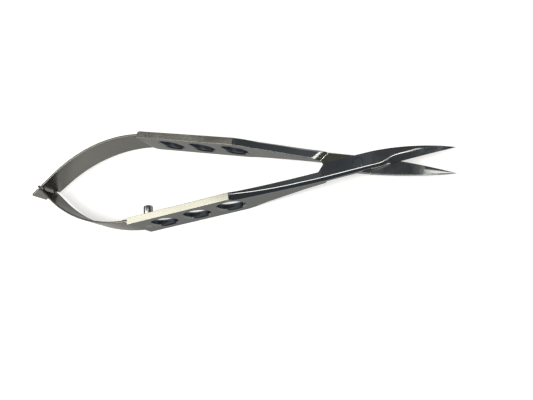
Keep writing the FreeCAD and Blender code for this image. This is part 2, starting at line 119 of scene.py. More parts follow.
def linear(code: str) -> tuple[float, float, float, float]:
    """Turn an sRGB hex colour into the linear values that a shader takes.

    Args:
        code: Six hex digits after a hash.

    Returns:
        Red, green, blue and an alpha of one.
    """
    parts = [int(code[start:start + 2], 16) / 255 for start in (1, 3, 5)]
    return (*[p / 12.92 if p <= 0.04045 else ((p + 0.055) / 1.055) ** 2.4 for p in parts], 1.0)


def add_node(
    tree: bpy.types.NodeTree,
    kind: str,
    settings: dict[str, object] | None = None,
    inputs: dict[str | int, object] | None = None,
) -> bpy.types.Node:
    """Add a node with its settings, values and links.

    Args:
        tree: The node tree that takes the node.
        kind: The node's type name.
        settings: Properties of the node itself.
        inputs: Values or output sockets, by the input's name or number.

    Returns:
        The new node.
    """
    node = tree.nodes.new(kind)
    for name, value in (settings or {}).items():
        setattr(node, name, value)
    for name, value in (inputs or {}).items():
        socket = node.inputs[name]
        if isinstance(value, bpy.types.NodeSocket):
            tree.links.new(value, socket)
        else:
            socket.default_value = value
    return node


@dataclass(frozen=True)
class SteelFinish:
    """Martensitic stainless steel, forged, hardened and finished by hand.

    The eye gets a neutral grey metal whose tone comes from what it mirrors,
    with the fine lines and soft clouds that the last wheel or belt left. The
    lines of a fine belt are 0.01 to 0.05 mm apart. They are too fine for the
    render and drawn as coarse as they need to show.
    """

    name: str
    colour: str
    roughness: float
    edge_tint: str = "#BCBCBC"  # keeps flat views of the metal from going white
    line_spacing: float = 0.3  # millimetres, as are the next one and the cloud size
    line_length: float = 9.0
    line_height: float = 0.01
    line_depth: float = 0.5  # how much of the height shows
    line_shade: float = 0.05
    cloud_size: float = 6.0
    cloud_shade: float = 0.06
    cloud_sheen: float = 0.03

    def build(self) -> bpy.types.Material:
        """Make the material.

        Returns:
            A metal with tool marks in its relief, tone and sheen.
        """
        material = bpy.data.materials.new(self.name)
        material.use_nodes = True
        tree = material.node_tree
        tree.nodes.clear()
        place = add_node(tree, "ShaderNodeAttribute", {"attribute_name": GRAIN}).outputs["Vector"]
        across = 1 / self.line_spacing
        stretched = add_node(tree, "ShaderNodeVectorMath", {"operation": "MULTIPLY"}, {
            0: place, 1: (1 / self.line_length, across, across)}).outputs["Vector"]
        lines = add_node(tree, "ShaderNodeTexNoise", None, {
            "Vector": stretched, "Scale": 1.0, "Detail": 4.0, "Roughness": 0.65}).outputs["Fac"]
        clouds = add_node(tree, "ShaderNodeTexNoise", None, {
            "Vector": place, "Scale": 1 / self.cloud_size, "Detail": 5.0,
            "Roughness": 0.6}).outputs["Fac"]
        sheen = add_node(tree, "ShaderNodeMapRange", None, {
            "Value": clouds, "From Min": CLOUD_RANGE[0], "From Max": CLOUD_RANGE[1],
            "To Min": max(self.roughness - self.cloud_sheen, 0.02),
            "To Max": self.roughness + self.cloud_sheen}).outputs["Result"]
        base = linear(self.colour)[:3]
        tone = self.shade(tree, clouds, self.cloud_shade, base)
        darker = add_node(tree, "ShaderNodeMapRange", None, {
            "Value": lines, "From Min": LINE_RANGE[0], "From Max": LINE_RANGE[1],
            "To Min": 1 - self.line_shade, "To Max": 1 + self.line_shade}).outputs["Result"]
        lined = add_node(tree, "ShaderNodeVectorMath", {"operation": "SCALE"}, {
            0: tone, "Scale": darker}).outputs["Vector"]
        relief = add_node(tree, "ShaderNodeBump", None, {
            "Height": lines, "Strength": self.line_depth,
            "Distance": self.line_height * MM}).outputs["Normal"]
        shader = add_node(tree, "ShaderNodeBsdfPrincipled", None, {
            "Base Color": lined, "Metallic": 1.0, "Roughness": sheen, "Normal": relief,
            "Specular Tint": linear(self.edge_tint)})
        add_node(tree, "ShaderNodeOutputMaterial", None, {"Surface": shader.outputs["BSDF"]})
        return material

    @staticmethod
    def shade(
        tree: bpy.types.NodeTree,
        share: bpy.types.NodeSocket,
        amount: float,
        base: tuple[float, float, float],
    ) -> bpy.types.NodeSocket:
        """Vary a colour up and down by an amount.

        Args:
            tree: The material's node tree.
            share: Pattern from 0 to 1 that picks between the two tones.
            amount: How far the tones lie from the base, as a share of it.
            base: Linear colour in the middle.

        Returns:
            The colour that comes out.
        """
        low = (*[part * (1 - amount) for part in base], 1.0)
        high = (*[part * (1 + amount) for part in base], 1.0)
        mixed = add_node(tree, "ShaderNodeMix", {"data_type": "RGBA"}, {0: share, 6: low, 7: high})
        return mixed.outputs[2]


def metres(x: float, y: float, z: float) -> Vector:
    """A point given in millimetres as a vector in metres."""
    return Vector((x, y, z)) * MM


def pivot_of(frame: Frame) -> Vector:
    """The blade pivot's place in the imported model, in metres."""
    return Vector(frame["joints"][0]["pos_m"])


def new_piece(name: str, mesh: bpy.types.Mesh) -> bpy.types.Object:
    """Put a mesh into the scene as an object.

    Args:
        name: The new object's name.
        mesh: Its mesh.

    Returns:
        The object.
    """
    piece = bpy.data.objects.new(name, mesh)
    bpy.context.scene.collection.objects.link(piece)
    return piece


@contextmanager
def edited(mesh: bpy.types.Mesh) -> Iterator[bmesh.types.BMesh]:
    """Open a mesh for editing, and write it back at the end.

    Args:
        mesh: The mesh that is changed.

    Yields:
        The mesh in the form that bmesh works on.
    """
    work = bmesh.new()
    work.from_mesh(mesh)
    yield work
    work.to_mesh(mesh)
    work.free()


def made_mesh(name: str, work: bmesh.types.BMesh) -> bpy.types.Mesh:
    """Turn what bmesh built into a mesh of its own.

    Args:
        name: The new mesh's name.
        work: The built form, which is used up.

    Returns:
        The mesh.
    """
    mesh = bpy.data.meshes.new(name)
    work.to_mesh(mesh)
    work.free()
    return mesh


def settle(piece: bpy.types.Object) -> None:
    """Replace a piece's mesh by what its modifiers make of it.

    Args:
        piece: The object whose modifiers are used up.
    """
    bpy.context.view_layer.update()
    evaluated = piece.evaluated_get(bpy.context.evaluated_depsgraph_get())
    mesh = bpy.data.meshes.new_from_object(evaluated)
    piece.modifiers.clear()
    piece.data = mesh


def ease_edges(piece: bpy.types.Object, width: float, limit: float = 40.0) -> None:
    """Round a piece's sharp edges a little.

    Args:
        piece: The object whose mesh gets eased.
        width: Width of the rounding in millimetres.
        limit: Angle in degrees above which an edge is sharp.
    """
    bevel = piece.modifiers.new("eased", "BEVEL")
    bevel.width = width * MM
    bevel.segments = 2
    bevel.limit_method = "ANGLE"
    bevel.angle_limit = math.radians(limit)
    settle(piece)


def smooth_faces(piece: bpy.types.Object, limit: float = 35.0) -> None:
    """Shade a piece smoothly, with the flat faces kept flat.

    Args:
        piece: The object that is shaded.
        limit: Angle in degrees above which an edge stays sharp.
    """
    piece.data.shade_smooth()
    piece.data.set_sharp_from_angle(angle=math.radians(limit))
    piece.modifiers.new("weighted", "WEIGHTED_NORMAL").keep_sharp = True
    settle(piece)


def mark_grain(piece: bpy.types.Object, places: list[Vector]) -> None:
    """Store where each vertex lies along and across the tool marks.

    Args:
        piece: The object whose mesh takes the places.
        places: One place in millimetres for each vertex: along, across, across.
    """
    attribute = piece.data.attributes.new(GRAIN, "FLOAT_VECTOR", "POINT")
    attribute.data.foreach_set("vector", [part for place in places for part in place])


def prism(name: str, outline: list[tuple[float, float]], depth: float) -> bpy.types.Object:
    """A flat plate with the outline in X and Z, centred on Y, in millimetres.

    Args:
        name: The new object's name.
        outline: Corners in order.
        depth: Thickness of the plate.

    Returns:
        The plate.
    """
    work = bmesh.new()
    corners = [work.verts.new(metres(x, -depth / 2, z)) for x, z in outline]
    face = work.faces.new(corners)
    grown = bmesh.ops.extrude_face_region(work, geom=[face])
    moved = [item for item in grown["geom"] if isinstance(item, bmesh.types.BMVert)]
    bmesh.ops.translate(work, verts=moved, vec=metres(0, depth, 0))
    bmesh.ops.recalc_face_normals(work, faces=work.faces)
    return new_piece(name, made_mesh(name, work))


def put_in_order(piece: bpy.types.Object) -> None:
    """Give a piece's corners and faces a fixed order.

    A cut leaves them in an order that changes from run to run.

    Args:
        piece: The object whose mesh is put in order.
    """
    mesh = piece.data
    places = [tuple(vertex.co) for vertex in mesh.vertices]
    order = sorted(range(len(places)), key=places.__getitem__)
    rank = {number: place for place, number in enumerate(order)}
    faces = []
    for face in mesh.polygons:
        ring = [rank[number] for number in face.vertices]
        first = ring.index(min(ring))
        faces.append(ring[first:] + ring[:first])
    piece.data = bpy.data.meshes.new(mesh.name)
    piece.data.from_pydata([places[number] for number in order], [], sorted(faces))


def cut_away(piece: bpy.types.Object, cutter: bpy.types.Object) -> None:
    """Cut one shape out of a piece.

    Args:
        piece: The object that gets cut.
        cutter: The shape that is taken out of it, which is used up.
    """
    cut = piece.modifiers.new("cut", "BOOLEAN")
    cut.operation = "DIFFERENCE"
    cut.solver = "EXACT"
    cut.object = cutter
    settle(piece)
    put_in_order(piece)
    bpy.data.objects.remove(cutter)


def rounded(
    corners: list[tuple[float, float, float]], facets: int = 5,
) -> list[tuple[float, float]]:
    """An outline whose corners are rounded to their own radius.

    Args:
        corners: Across, up and radius of each corner, in order.
        facets: Facets of each rounding.

    Returns:
        The points of the outline.
    """
    points = []
    for number, (across, up, radius) in enumerate(corners):
        here = Vector((across, up))
        before = (Vector(corners[number - 1][:2]) - here).normalized()
        after = (Vector(corners[(number + 1) % len(corners)][:2]) - here).normalized()
        if radius == 0:
            points.append((across, up))
            continue
        half = before.angle(after) / 2
        centre = here + (before + after).normalized() * radius / math.sin(half)
        first = here + before * radius / math.tan(half) - centre
        last = here + after * radius / math.tan(half) - centre
        for step in range(facets + 1):
            spoke = first.slerp(last, step / facets) * radius
            points.append(tuple(centre + spoke))
    return points


@dataclass
class ScissorPiece:
    """What all pieces share: a side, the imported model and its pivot."""

    side: Side
    frame: Frame

    @property
    def pivot(self) -> Vector:
        """The blade pivot's place, in metres."""
        return pivot_of(self.frame)

    @property
    def to_row(self) -> Matrix:
        """Turn from the half's own frame to the frame of the whole."""
        turn = Matrix.Rotation(math.radians(-self.side.value * REST_ANGLE), 3, "Z")
        return turn @ Matrix.Diagonal((1, self.side.value, 1))

    def placed(self, x: float, y: float, z: float) -> Vector:
        """A point of the half's own frame as a point of the whole, in metres."""
        return self.pivot + self.to_row @ metres(x, y, z)

    def own_place(self, point: Vector) -> Vector:
        """A point of the whole in the half's own frame, in millimetres."""
        return self.to_row.inverted() @ (point - self.pivot) / MM


def smooth_line(points: tuple[tuple[float, float], ...], x: float) -> float:
    """Height of a smooth curve through points at a place along it.

    Args:
        points: Places along and heights, in rising order.
        x: The place that is asked for.

    Returns:
        The curve's height there.
    """
    last = len(points) - 1
    number = next((n for n in range(last) if x <= points[n + 1][0]), last - 1)
    (x0, y0), (x1, y1) = points[number], points[number + 1]
    before, after = points[max(number - 1, 0)], points[min(number + 2, last)]
    run = x1 - x0
    rise = (y1 - before[1]) / (x1 - before[0]) * run
    fall = (after[1] - y0) / (after[0] - x0) * run
    s = (x - x0) / run
    return (y0 * (1 + 2 * s) * (1 - s) ** 2 + rise * s * (1 - s) ** 2
            + y1 * s * s * (3 - 2 * s) - fall * s * s * (1 - s))


def rounded_turn(
    before: Vector, corner: Vector, after: Vector, width: float, facets: int,
) -> list[Vector]:
    """Round one corner of a cross-section.

    Args:
        before: The corner before it.
        corner: The corner that gets rounded.
        after: The corner after it.
        width: How far from the corner the rounding starts and ends.
        facets: Facets of the rounding.

    Returns:
        The points of the rounding.
    """
    most = 0.45  # of a side, so that two roundings never meet on it
    first = corner + (before - corner).normalized() * min(width, (before - corner).length * most)
    last = corner + (after - corner).normalized() * min(width, (after - corner).length * most)
    points = []
    for step in range(facets + 1):
        share = step / facets
        rest = 1 - share
        points.append(first * rest ** 2 + corner * 2 * share * rest + last * share ** 2)
    return points


@dataclass(frozen=True)
class Blade:
    """The curved, ground blade in front of the joint plate, as cross-sections.

    The ridge runs from the plate's outer edge across to the back, and the
    face beyond it is ground down to the cutting edge. The ridge's rounding is
    what catches the light as a line. It fades out short of the tip.
    """

    side: Side
    start: float = 3.0
    tip: float = 20.8
    curve: float = 60.0
    plate_thick: float = 1.35
    tip_thick: float = 0.45
    gap: float = 0.04
    back_start: float = 2.3
    back_side: float = 1.86
    back_radius: float = 75.0
    tip_side: float = 0.58
    edge_start: float = -1.0
    edge_side: float = 2.0
    edge_radius: float = 280.0
    edge_thick: float = 0.09
    point_run: float = 2.2
    point_thick: float = 0.3  # share of the thickness that is left at the point
    back_margin: float = 0.06
    edge_margin: float = 0.03
    deepest_facet: float = 0.7
    flat_rounding: float = 0.02
    back_rounding: float = 0.06
    edge_rounding: float = 0.03
    ridge_rounding: float = 0.21
    ridge_widening: float = 0.02
    widening_run: float = 3.0
    fade_start: float = 13.1
    fade_run: float = 1.1
    back_fading: float = 0.04
    ridge_fading: float = 0.215
    slices: int = 72
    last_slices: tuple[float, float] = (0.12, 0.04)  # distances from the tip
    seam: float = 0.02
    overlap: float = 0.3
    ridge: tuple[tuple[float, float], ...] = (  # distance from the pivot and side position
        (-8.5, 1.5), (3.0, 1.39), (4.8, 1.32), (5.9, 1.05), (7.3, 0.45), (8.9, 0.09),
        (11.0, -0.07), (14.2, -0.2), (17.0, -0.02), (20.8, 0.5))

    def bowed(self, x: float, x0: float, y0: float, radius: float) -> float:
        """Side position of a flat bow from a start to the tip.

        Args:
            x: Distance from the pivot.
            x0: Where the bow starts.
            y0: Side position at the start.
            radius: Radius of the bow, negative where it bows inwards.

        Returns:
            The side position.
        """
        run = self.tip - x0
        share = (x - x0) / run
        return y0 + (self.tip_side - y0) * share + run * run * share * (1 - share) / (2 * radius)

    def section(self, x: float) -> list[Vector]:
        """Cross-section at a place along the blade.

        Args:
            x: Distance from the pivot.

        Returns:
            Points round the blade in the half's own frame, in millimetres.
        """
        sign = -self.side.value
        beyond = x - self.start
        face = math.sqrt(self.curve ** 2 - beyond ** 2) - self.curve
        share = beyond / (self.tip - self.start)
        towards_point = math.sqrt(min((self.tip - x) / self.point_run, 1))
        fine = self.point_thick + (1 - self.point_thick) * towards_point
        thick = (self.plate_thick + (self.tip_thick - self.plate_thick) * share) * fine
        back = self.bowed(x, self.back_start, -self.back_side, -self.back_radius)
        edge = self.bowed(x, self.edge_start, self.edge_side, self.edge_radius)
        ridge = max(smooth_line(self.ridge, x), back + self.back_margin)
        ridge = min(ridge, edge - self.edge_margin)
        foot = min(max(thick - (edge - ridge), self.edge_thick), thick * self.deepest_facet)
        corners = [Vector((back, self.gap)), Vector((back, thick)), Vector((ridge, thick)),
                   Vector((edge, foot)), Vector((edge, self.gap))]
        turning = min(max((x - self.start) / self.widening_run, 0), 1)
        fading = min(max((x - self.fade_start) / self.fade_run, 0), 1)
        roundings = (
            (self.flat_rounding, 2),
            (self.back_rounding - self.back_fading * fading, 3),
            (self.ridge_rounding + self.ridge_widening * turning - self.ridge_fading * fading, 5),
            (self.edge_rounding, 2),
            (self.flat_rounding, 2),
        )
        points = []
        for number, (corner, (width, facets)) in enumerate(zip(corners, roundings)):
            after = corners[(number + 1) % len(corners)]
            points += rounded_turn(corners[number - 1], corner, after, width, facets)
        return [Vector((x, point.x, face + sign * point.y)) for point in points]

    def root(self) -> list[Vector]:
        """Cross-section inside the plate, a touch smaller than the plate itself.

        Returns:
            Points round the blade in the half's own frame, in millimetres.
        """
        ring = self.section(self.start)
        middle = sum(ring, Vector()) / len(ring)
        back = Vector((-self.overlap, 0, 0))
        return [point + (middle - point).normalized() * self.seam + back for point in ring]

    def rings(self) -> list[list[Vector]]:
        """All the cross-sections, closer together at the point.

        Returns:
            The cross-sections from inside the plate to the tip.
        """
        run = self.tip - self.start
        places = [self.start + run * step / self.slices for step in range(self.slices)]
        places += [self.tip - short for short in self.last_slices]
        return [self.root()] + [self.section(x) for x in places]


@dataclass
class ScissorHalf(ScissorPiece):
    """One half: grip with three openings, shank, joint plate and blade."""

    finishes: dict[Zone, bpy.types.Material]

    # Where one stretch ends and the next begins, in the half's own frame
    grip_rear: float = -61.0
    band_end: float = -31.4
    shank_start: float = -29.0
    step_start: float = -10.0
    plate_end: float = 3.0
    openings_top: float = 4.5
    lap_reach: float = 1.3

    # Share of a face's normal that has to point one way for the face to look there
    squarely: float = 0.9
    flatly: float = 0.95
    mostly: float = 0.5
    barely: float = 0.3

    # Rounding of the edges
    edge_width: float = 0.07
    inner_width: float = 0.13
    ridge_width: float = 0.21
    corner_width: float = 0.5
    rounding_facets: int = 4

    # Which edges get them: angles in degrees, places in millimetres
    faint: float = 20.0
    sharp: float = 30.0
    square: float = 60.0
    screw_rim: float = 1.3
    head_seat: float = 1.7
    inner_side: float = 0.8
    inner_drop: float = 1.0
    corner_start: float = -60.0
    corner_side: float = 1.8
    corner_run: float = 3.0
    ridge_reach: float = 0.2
    ridge_shortest: float = 0.2

    # Clean-up of the CAD model's mesh: millimetres and degrees
    merged_within: float = 0.002
    flat_within: float = 0.4

    ridge: tuple[tuple[float, float], ...] = (
        (-31.3, 1.3), (-25.0, 1.62), (-14.0, 1.58), (-8.5, 1.5), (4.0, 1.38))

    def zone_of(self, centre: Vector, normal: Vector) -> Zone:
        """Which finish a face gets.

        Args:
            centre: The face's middle in the half's own frame, in millimetres.
            normal: The face's normal in the half's own frame.

        Returns:
            The zone that the face belongs to.
        """
        if centre.x < self.band_end:
            if abs(normal.z) > self.squarely and abs(centre.z) > self.openings_top:
                return Zone.BAND
            if abs(normal.y) > self.mostly:
                return Zone.GRIP
            if abs(centre.z) < self.openings_top and centre.x > self.grip_rear:
                return Zone.BORE
            return Zone.GRIP
        if centre.x > self.plate_end:
            return Zone.GROUND
        towards_other = normal.z * self.side.value
        on_lap = centre.x > self.step_start and abs(centre.z) < self.lap_reach
        if on_lap and towards_other > self.mostly:
            return Zone.LAPPED if towards_other > self.flatly else Zone.RAMP
        if abs(normal.z) < self.barely and centre.x < self.step_start:
            return Zone.GRIP
        return Zone.POLISHED

    def on_ridge(self, edge: bmesh.types.BMEdge) -> bool:
        """Tell the line between the shank's top and its facet from other edges.

        Args:
            edge: An edge of the CAD model's mesh.

        Returns:
            Whether the edge is part of that line.
        """
        middle = self.own_place((edge.verts[0].co + edge.verts[1].co) / 2)
        if not self.ridge[0][0] < middle.x < self.ridge[-1][0]:
            return False
        if middle.z * self.side.value > 0:
            return False
        for (x0, y0), (x1, y1) in zip(self.ridge, self.ridge[1:]):
            if x0 <= middle.x <= x1:
                line = y0 + (y1 - y0) * (middle.x - x0) / (x1 - x0)
                near = abs(middle.y - line) < self.ridge_reach
                return near and edge.calc_length() > self.ridge_shortest * MM
        return False

    def rounding_of(self, edge: bmesh.types.BMEdge) -> float:
        """How wide an edge gets rounded.

        Args:
            edge: An edge of the CAD model's mesh.

        Returns:
            The width in millimetres, which is zero where the edge stays as it is.
        """
        angle = math.degrees(edge.calc_face_angle(0))
        first, last = (self.own_place(vertex.co) for vertex in edge.verts)
        middle = (first + last) / 2
        from_screw = middle.to_2d().length
        # The screw fills its bore and its head's seat, so nothing bulges into them
        if from_screw < self.screw_rim or (from_screw < self.head_seat and not edge.is_convex):
            return 0.0
        if angle > self.faint and self.on_ridge(edge):
            return self.ridge_width
        on_shank = self.shank_start < middle.x < self.step_start
        inside = middle.y < self.inner_side and abs(middle.z) > self.inner_drop
        if angle > self.square and on_shank and inside:
            return self.inner_width
        upright = abs(first.z - last.z) > self.corner_run
        at_rear = middle.x < self.corner_start and middle.y > self.corner_side
        if angle > self.faint and at_rear and upright:
            return self.corner_width
        return self.edge_width if angle > self.sharp else 0.0

    def weigh_edges(self, work: bmesh.types.BMesh) -> None:
        """Mark how wide each edge gets rounded, as a share of the widest.

        Args:
            work: The CAD model's mesh, which takes the marks.
        """
        weight = work.edges.layers.float.new("bevel_weight_edge")
        for edge in work.edges:
            edge[weight] = self.rounding_of(edge) / self.corner_width

    def cut_blade_off(self, work: bmesh.types.BMesh) -> None:
        """Take the plain blade off at the plate's front end.

        Args:
            work: The half's mesh, which is left open there.
        """
        normal = self.to_row @ Vector((1, 0, 0))
        everything = [*work.verts, *work.edges, *work.faces]
        bmesh.ops.bisect_plane(
            work, geom=everything, plane_co=self.placed(self.plate_end, 0, 0), plane_no=normal,
            dist=ON_PLANE, clear_outer=True)

    def add_blade(self, work: bmesh.types.BMesh) -> None:
        """Close the plate's front end and put the finely ground blade on it.

        Args:
            work: The half's mesh, which takes the blade as a closed shell of its own.
        """
        bmesh.ops.holes_fill(work, edges=[edge for edge in work.edges if edge.is_boundary])
        shell = bmesh.new()
        rings = [[shell.verts.new(self.placed(*point)) for point in ring]
                 for ring in Blade(self.side).rings()]
        count = len(rings[0])
        for ring, following in zip(rings, rings[1:]):
            for step in range(count):
                after = (step + 1) % count
                shell.faces.new((ring[step], ring[after], following[after], following[step]))
        shell.faces.new(reversed(rings[0]))
        shell.faces.new(rings[-1])
        if shell.calc_volume(signed=True) < 0:
            bmesh.ops.reverse_faces(shell, faces=shell.faces)
        blade = made_mesh("blade", shell)
        work.from_mesh(blade)
        bpy.data.meshes.remove(blade)

    def build(self) -> bpy.types.Object:
        """Copy the CAD solid, round its edges, add the blade and finish each zone.

        Returns:
            The finished half.
        """
        node = f"{self.side.label}_half"
        mesh = self.frame["nodes"][node].data.copy()
        with edited(mesh) as work:
            bmesh.ops.remove_doubles(work, verts=work.verts, dist=self.merged_within * MM)
            bmesh.ops.dissolve_limit(
                work, angle_limit=math.radians(self.flat_within), verts=work.verts,
                edges=work.edges)
            self.cut_blade_off(work)
            self.weigh_edges(work)
        mesh.materials.clear()
        piece = new_piece(f"{node}_finished", mesh)
        rounding = piece.modifiers.new("eased", "BEVEL")
        rounding.width = self.corner_width * MM
        rounding.segments = self.rounding_facets
        rounding.limit_method = "WEIGHT"
        rounding.use_clamp_overlap = False
        settle(piece)
        with edited(piece.data) as work:
            self.add_blade(work)
        smooth_faces(piece)
        for zone in Zone:
            piece.data.materials.append(self.finishes[zone])
        to_own = self.to_row.inverted()
        for face in piece.data.polygons:
            zone = self.zone_of(self.own_place(face.center), to_own @ face.normal)
            face.material_index = zone.value
        mark_grain(piece, [self.own_place(vertex.co) for vertex in piece.data.vertices])
        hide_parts(node)
        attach(piece, f"{self.side.label}_side")
        return piece


# Length of each strip from its root to the other strip, and how far it runs on behind
CROSSINGS = {Side.NEAR: 37.849, Side.FAR: 38.034}
OVERRUNS = {Side.NEAR: 1.2, Side.FAR: 3.4}


@dataclass
class LeafSpring(ScissorPiece):
    """One bowed leaf spring with its part of the rear hook.

    The far strip narrows to a tongue between two notches, which stays in the
    near strip's window.
    """

    finish: bpy.types.Material
    thick: float = 0.5
    root: tuple[float, float] = (-62.0, 1.52)
    set_angle: float = 4.58
    lean: float = 0.36
    turn: float = 41.7
    radius: float = 45.0
    root_height: float = 10.0
    end_height: float = 6.9
    bend_reach: float = 20.0
    slice_length: float = 0.8
    outline_steps: int = 24
    root_facets: int = 6
    root_rounding: float = 0.48  # of the thickness: a shade under half, so that a flat is left
    eased: float = 0.06
    tongue: float = 2.0
    tongue_corner: float = 0.2
    notch_corner: float = 0.1
    window: float = 2.1
    window_corner: float = 0.25
    window_rear: float = 0.75
    window_front: float = 1.35
    notch_rear: float = 0.55
    notch_front: float = 0.75
    corner: float = 0.35

    @property
    def crossing(self) -> float:
        """Length of the strip from its root to the other strip."""
        return CROSSINGS[self.side]

    @property
    def length(self) -> float:
        """Whole length of the strip behind its root."""
        return self.crossing + OVERRUNS[self.side]

    def centre(self, along: float) -> tuple[float, float, float]:
        """Where the strip's middle runs.

        Args:
            along: Length from the root.

        Returns:
            Place in the half's own frame and the strip's angle in radians.
        """
        first = math.radians(self.set_angle + self.side.value * self.lean)
        bend = self.radius * math.radians(self.turn)
        angle = first + min(max(along, 0), bend) / self.radius
        x = self.root[0] - self.radius * (math.sin(angle) - math.sin(first))
        y = self.root[1] - self.radius * (math.cos(first) - math.cos(angle))
        straight = along - bend if along > bend else min(along, 0)
        return x - straight * math.cos(angle), y - straight * math.sin(angle), angle

    def half_height(self, along: float) -> float:
        """Half the strip's height, which narrows towards the tail.

        Args:
            along: Length from the root.

        Returns:
            Half the height there.
        """
        tail = self.centre(self.length)[0] - self.thick / 2
        share = (self.centre(along)[0] - self.root[0]) / (tail - self.root[0])
        return (self.root_height + (self.end_height - self.root_height) * max(share, 0)) / 2

    def outline(self) -> list[tuple[float, float]]:
        """Outline of the strip rolled out flat.

        Returns:
            Length behind the root and height of each point.
        """
        start, end = -self.thick / 2, self.length
        notch = self.crossing - self.notch_front
        places = [start + (notch - start) * step / self.outline_steps
                  for step in range(self.outline_steps)]
        upper = [(along, self.half_height(along), 0) for along in places]
        lower = [(along, -up, 0) for along, up, _ in reversed(upper)]
        if self.side is Side.NEAR:
            top = self.half_height(end)
            hook = [(end, top, self.corner), (end, -top, self.corner)]
        else:
            after = self.crossing + self.notch_rear
            outer, inner = self.notch_corner, self.tongue_corner
            hook = [
                (notch, self.half_height(notch), outer), (notch, self.tongue, inner),
                (after, self.tongue, inner), (after, self.half_height(after), outer),
                (end, self.half_height(end), self.corner), (end, -self.tongue, self.corner),
                (notch, -self.tongue, inner), (notch, -self.half_height(notch), outer),
            ]
        return rounded(upper + hook + lower)

    def round_root(self, piece: bpy.types.Object) -> None:
        """Round the end of the strip that sits in the grip's groove.

        Args:
            piece: The flat strip.
        """
        start = -self.thick / 2 * MM
        width = self.thick * self.root_rounding * MM
        with edited(piece.data) as work:
            ends = [edge for edge in work.edges
                    if all(abs(vertex.co.x - start) < TOUCHING for vertex in edge.verts)
                    and abs(edge.verts[0].co.y - edge.verts[1].co.y) < TOUCHING]
            bmesh.ops.bevel(
                work, geom=ends, offset=width, segments=self.root_facets, profile=0.5,
                affect="EDGES")

    def slice_up(self, piece: bpy.types.Object) -> None:
        """Cut the flat strip into short lengths, so that it bends smoothly.

        Args:
            piece: The flat strip.
        """
        with edited(piece.data) as work:
            along = self.slice_length
            while along < self.length:
                everything = [*work.verts, *work.edges, *work.faces]
                bmesh.ops.bisect_plane(
                    work, geom=everything, plane_co=metres(along, 0, 0), plane_no=(1, 0, 0),
                    dist=ON_PLANE)
                along += self.slice_length

    def bend(self, piece: bpy.types.Object) -> None:
        """Bow the flat strip along its line and put it in its place.

        Args:
            piece: The flat strip.
        """
        places = [vertex.co / MM for vertex in piece.data.vertices]
        for vertex, (along, beside, up) in zip(piece.data.vertices, places):
            x, y, angle = self.centre(along)
            vertex.co = self.placed(
                x - beside * math.sin(angle), y + beside * math.cos(angle), up)
        if self.side is Side.FAR:
            piece.data.flip_normals()
        mark_grain(piece, [Vector((place[0], place[2], place[1])) for place in places])

    def build(self) -> bpy.types.Object:
        """Make the strip flat, cut its hook and bow it.

        Returns:
            The leaf spring.
        """
        node = f"{self.side.label}_leaf"
        piece = prism(f"{node}_spring", self.outline(), self.thick)
        self.round_root(piece)
        if self.side is Side.NEAR:
            rear, front = self.crossing + self.window_rear, self.crossing - self.window_front
            corners = [(along, up, self.window_corner) for along, up in (
                (rear, self.window), (rear, -self.window),
                (front, -self.window), (front, self.window))]
            cut_away(piece, prism("window_cutter", rounded(corners), self.thick * CUTTER_REACH))
        ease_edges(piece, self.eased)
        self.slice_up(piece)
        self.bend(piece)
        smooth_faces(piece)
        piece.data.materials.append(self.finish)
        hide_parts(node)
        root = self.placed(*self.root, 0)
        x, y, _ = self.centre(self.bend_reach)
        self.placed(x, y, 0)
        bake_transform(piece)
        return piece


def turned(name: str, profile: list[tuple[float, float]], facets: int = 72) -> bpy.types.Object:
    """A lathe-turned piece round Z.

    Args:
        name: The new object's name.
        profile: Radius and height of each point, from one end's middle to the other's.
        facets: Facets round the axis.

    Returns:
        The piece, with its grain running round the axis.
    """
    work = bmesh.new()
    rings = []
    for radius, height in profile:
        if radius == 0:
            rings.append([work.verts.new(metres(0, 0, height))])
            continue
        rings.append([
            work.verts.new(metres(radius * math.cos(angle), radius * math.sin(angle), height))
            for angle in [math.tau * step / facets for step in range(facets)]])
    for lower, upper in zip(rings, rings[1:]):
        for step in range(facets):
            after = (step + 1) % facets
            if len(lower) == 1:
                work.faces.new((lower[0], upper[step], upper[after]))
            elif len(upper) == 1:
                work.faces.new((lower[step], lower[after], upper[0]))
            else:
                work.faces.new((lower[step], lower[after], upper[after], upper[step]))
    bmesh.ops.recalc_face_normals(work, faces=work.faces)
    return new_piece(name, made_mesh(name, work))


@dataclass
class PivotScrew(ScissorPiece):
    """Screw of the joint: its end flush in the near plate, its slotted head below."""

    finish: bpy.types.Material
    reach: float = 1.35
    radius: float = 1.2
    head: float = 1.55
    head_depth: float = 0.55
    ease: float = 0.1
    flush_ease: float = 0.09
    fine_ease: float = 0.01
    facet_angle: float = 12.0  # below the turn of one small facet to the next
    slot_width: float = 0.4
    slot_depth: float = 0.25

    def build(self) -> bpy.types.Object:
        """Turn the screw and cut its slot.

        Returns:
            The pivot screw.
        """
        low, high = -self.reach, self.reach
        piece = turned("pivot_screw_turned", [
            (0, low), (self.head - self.ease, low), (self.head, low + self.ease),
            (self.head, low + self.head_depth), (self.radius, low + self.head_depth),
            (self.radius, high - self.flush_ease), (self.radius - self.flush_ease, high),
            (0, high)])
        half, outside, floor = self.slot_width / 2, low - 1, low + self.slot_depth
        slot = prism("slot_cutter", [
            (-half, outside), (half, outside), (half, floor), (-half, floor)],
            self.head * CUTTER_REACH)
        cut_away(piece, slot)
        ease_edges(piece, self.fine_ease)
        # The flush end was ground together with the plate; the rest keeps its turning rings
        to_own = self.to_row.inverted()
        mark_grain(piece, [
            (to_own @ vertex.co if vertex.co.z > 0
             else Vector((0, vertex.co.to_2d().length, vertex.co.z))) / MM
            for vertex in piece.data.vertices])
        piece.data.transform(Matrix.Translation(self.pivot))
        smooth_faces(piece, self.facet_angle)
        piece.data.materials.append(self.finish)
        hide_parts("pivot_screw")
        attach(piece, "near_side")
        return piece


